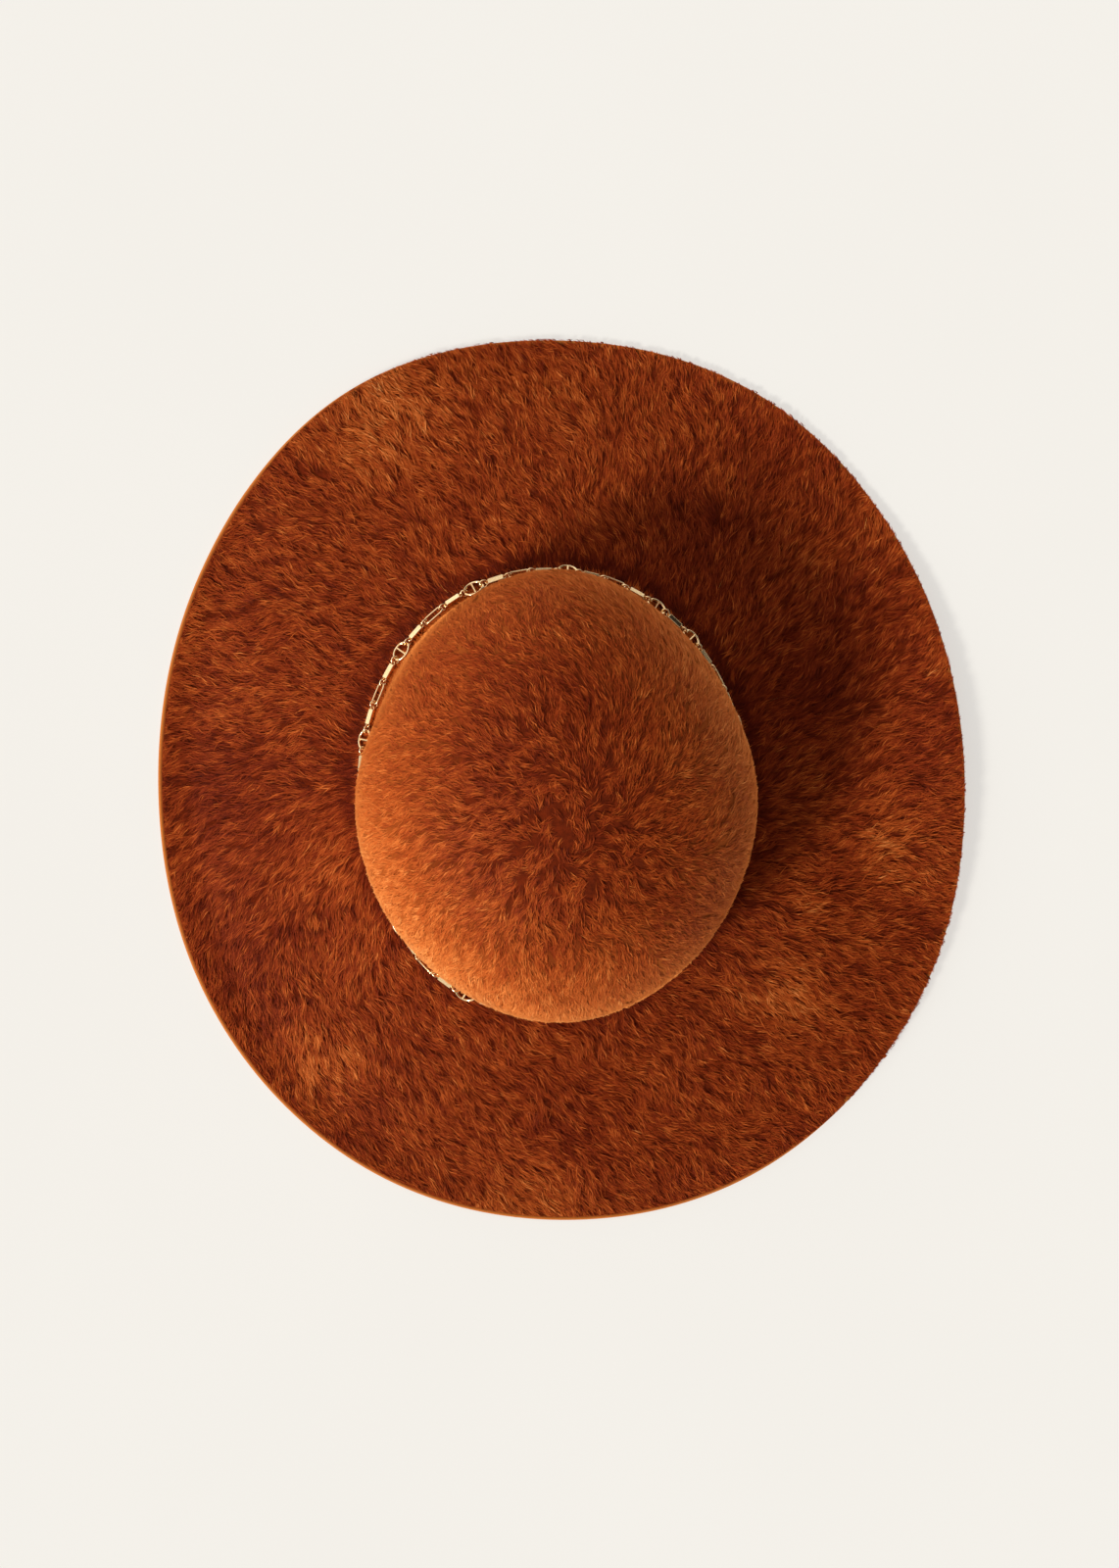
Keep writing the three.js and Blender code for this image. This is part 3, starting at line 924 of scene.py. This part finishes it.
def square_bar(length, side, corner):
    """A square bar along X with rounded edges and bevelled ends"""
    quarter = np.linspace(0, math.pi / 2, 4)
    turn = np.concatenate([quarter + k * math.pi / 2 for k in range(4)])
    middle = np.repeat([(1, 1), (-1, 1), (-1, -1), (1, -1)], 4, axis=0) * (side / 2 - corner)
    outline = middle + corner * np.stack([np.cos(turn), np.sin(turn)], -1)
    half = [(0.5, 0), (0.5, BAR_BEVEL), (BAR_BEVEL_FROM, 1)]
    rings = []
    for x, share in [(-x, share) for x, share in half] + half[::-1]:
        rings.append(np.concatenate([np.full((len(turn), 1), x * length), outline * share], 1))
    index = np.arange(len(rings) * len(turn)).reshape(len(rings), len(turn))
    sides = np.stack([index[:-1], index[1:], np.roll(index[1:], -1, 1), np.roll(index[:-1], -1, 1)], -1)
    return np.concatenate(rings), sides.reshape(-1, 4)[:, ::-1]


rod = square_bar(BAR_LENGTH, BAR_SIDE, BAR_CORNER)
bar = join(
    rod,
    (eye_points + (BAR_LENGTH / 2, 0, 0), eye_faces),
    (eye_points - (BAR_LENGTH / 2, 0, 0), eye_faces),
)

# The links are laid one after another, each turned a little about the chain's line
LINK_LEAN = math.radians(5)
RING_LEAN = math.radians(18)
EYE_PLAY = 0.1 * MM
pitch = (ANCHOR_LENGTH + LONG_LENGTH) / 2 + BAR_LENGTH + 2 * RING_SPAN
link_count = round(route_length / pitch)
link_lengths = [LONG_LENGTH if i % 2 else ANCHOR_LENGTH for i in range(link_count)]
spare = route_length - sum(link_lengths) - link_count * (BAR_LENGTH + 2 * RING_SPAN)
span = RING_SPAN + spare / (2 * link_count)
picks = np.random.default_rng(5)
laid = {"anchor_links": [], "long_links": [], "chain_bars": [], "chain_rings": []}
at = CHAIN_START - ANCHOR_LENGTH / 2
for i, length in enumerate(link_lengths):
    kind, link = ("long_links", long_link) if i % 2 else ("anchor_links", anchor)
    laid[kind].append(lay(link, at + length / 2, picks.normal(0, LINK_LEAN)))
    bar_at = at + length + span + BAR_LENGTH / 2
    laid["chain_bars"].append(lay(bar, bar_at, BAR_TURN + picks.normal(0, LINK_LEAN)))
    ring_far = BAR_LENGTH / 2 + EYE_PLAY + RING_ACROSS / 2
    for side in (-1, 1):
        tilt = math.pi / 2 + picks.normal(0, RING_LEAN)
        laid["chain_rings"].append(lay(ring, bar_at + side * ring_far, tilt))
    at += length + 2 * span + BAR_LENGTH
for name, skins in laid.items():
    points, faces = join(*skins)
    in_bar = np.arange(len(faces)) % len(bar[1])
    flat = (name == "chain_bars") & (in_bar < len(rod[1]))
    piece = new_piece(name, points, faces, gold, flat=flat)
    if name == "chain_bars":
        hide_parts("chain_band")

# The table that the hat lies on: a board painted off-white, with faint wide clouds in the paint.
# It is lit a little from inside so that shadows on it stay light. It isn't part of the hat.
TABLE_HALF = 4.0
TABLE_DROP = 0.1 * MM
CLOUD_SPACING = 1 / 6
table_finish, tree, surface = new_material("pale_lit_table")
place = add_node(tree, "ShaderNodeTexCoord").outputs["Object"]
clouds = add_node(
    tree,
    "ShaderNodeTexNoise",
    {"Vector": place, "Scale": 1 / CLOUD_SPACING, "Detail": 2},
)
tint = add_node(
    tree,
    "ShaderNodeValToRGB",
    {"Fac": clouds.outputs["Fac"]},
    [(0.3, "#878580"), (0.7, "#898782")],
)
top_coat = add_node(
    tree,
    "ShaderNodeBsdfPrincipled",
    {
        "Base Color": tint.outputs["Color"],
        "Roughness": 0.9,
        "Specular IOR Level": 0.0,
        "Emission Color": linear("#F3F0EB"),
        "Emission Strength": 0.708,
    },
)
tree.links.new(top_coat.outputs["BSDF"], surface)
corners = np.array([(-1, -1, 0), (1, -1, 0), (1, 1, 0), (-1, 1, 0)]) * TABLE_HALF
corners = corners - (0, 0, TABLE_DROP)
table = new_piece("table", corners, np.array([(0, 1, 2, 3)]), table_finish, body=None)

# Studio light: one large soft lamp from the lower left of the picture, in a white room that is
# darker towards the right. It has pale low walls, a bright middle of the ceiling, and at the upper
# left a window that the chain mirrors.
LAMP_AZIMUTH = math.radians(216)
LAMP_HEIGHT = math.radians(45)
LAMP_STRENGTH = 2.62
LAMP_ACROSS = math.radians(13)
lamp = bpy.data.lights.new("soft_lamp", "SUN")
lamp.energy = LAMP_STRENGTH
lamp.angle = LAMP_ACROSS
lamp.color = linear("#FFFDF8")[:3]
lamp_object = bpy.data.objects.new("soft_lamp", lamp)
towards_lamp = Vector((
    math.cos(LAMP_HEIGHT) * math.cos(LAMP_AZIMUTH),
    math.cos(LAMP_HEIGHT) * math.sin(LAMP_AZIMUTH),
    math.sin(LAMP_HEIGHT),
))
lamp_object.rotation_euler = towards_lamp.to_track_quat("Z", "Y").to_euler()
bpy.context.scene.collection.objects.link(lamp_object)

WINDOW_WAY = (-0.65, 0.545, 0.53)
room_light = bpy.data.worlds.new("white_room")
room_light.use_nodes = True
tree = room_light.node_tree
tree.nodes.clear()
way = add_node(tree, "ShaderNodeTexCoord").outputs["Generated"]
direction = add_node(tree, "ShaderNodeSeparateXYZ", {"Vector": way})
facing = add_node(tree, "ShaderNodeVectorMath", {0: way, 1: WINDOW_WAY}, operation="DOT_PRODUCT")

# Each part of the room: what its edge follows, where the edge begins and ends, and the light on
# the near and the far side of it. Where parts overlap, the brightest one shows.
ROOM_PARTS = {
    "side": (direction.outputs["X"], -0.35, 0.45, 0.67, 0.02),
    "ceiling": (direction.outputs["Z"], 0.93, 0.985, 0.0, 0.72),
    "low_walls": (direction.outputs["Z"], 0.22, 0.38, 1.0, 0.0),
    "window": (facing.outputs["Value"], 0.8, 0.9, 0.0, 1.3),
}
brightest = 0.0
for follows, begins, ends, near, far in ROOM_PARTS.values():
    part = add_node(
        tree,
        "ShaderNodeMapRange",
        {"Value": follows, "From Min": begins, "From Max": ends, "To Min": near, "To Max": far},
        interpolation_type="SMOOTHSTEP",
    )
    both = {0: brightest, 1: part.outputs["Result"]}
    brightest = add_node(tree, "ShaderNodeMath", both, operation="MAXIMUM").outputs["Value"]
background = add_node(
    tree,
    "ShaderNodeBackground",
    {"Color": linear("#FFFEFC"), "Strength": brightest},
)
add_node(tree, "ShaderNodeOutputWorld", {"Surface": background.outputs["Background"]})
bpy.context.scene.world = room_light

# The camera looks down from 2.2 m, leaning 4 degrees towards the back left, as the photograph was
# taken. Its lens is set so that the frame is 0.7 m high at the table.
CAMERA_DISTANCE = 2.2
CAMERA_LEAN = math.radians(4)
LEAN_AZIMUTH = math.radians(135)
FRAME_HEIGHT = 0.7018
FRAME_CENTRE = Vector((-0.9 * MM, -0.9 * MM, 0))
camera_data = bpy.data.cameras.new("camera")
camera_data.sensor_fit = "VERTICAL"
camera_data.sensor_height = 36
camera_data.lens = 36 * CAMERA_DISTANCE / FRAME_HEIGHT
camera_data.clip_end = 50
camera = bpy.data.objects.new("camera", camera_data)
towards_camera = Vector((
    math.sin(CAMERA_LEAN) * math.cos(LEAN_AZIMUTH),
    math.sin(CAMERA_LEAN) * math.sin(LEAN_AZIMUTH),
    math.cos(CAMERA_LEAN),
))
right = Vector((0, 1, 0)).cross(towards_camera).normalized()
up = towards_camera.cross(right)
turned = Matrix((right, up, towards_camera)).transposed().to_4x4()
camera.matrix_world = Matrix.Translation(FRAME_CENTRE + towards_camera * CAMERA_DISTANCE) @ turned
bpy.context.scene.collection.objects.link(camera)
bpy.context.scene.camera = camera
bpy.context.scene.view_settings.view_transform = "Standard"
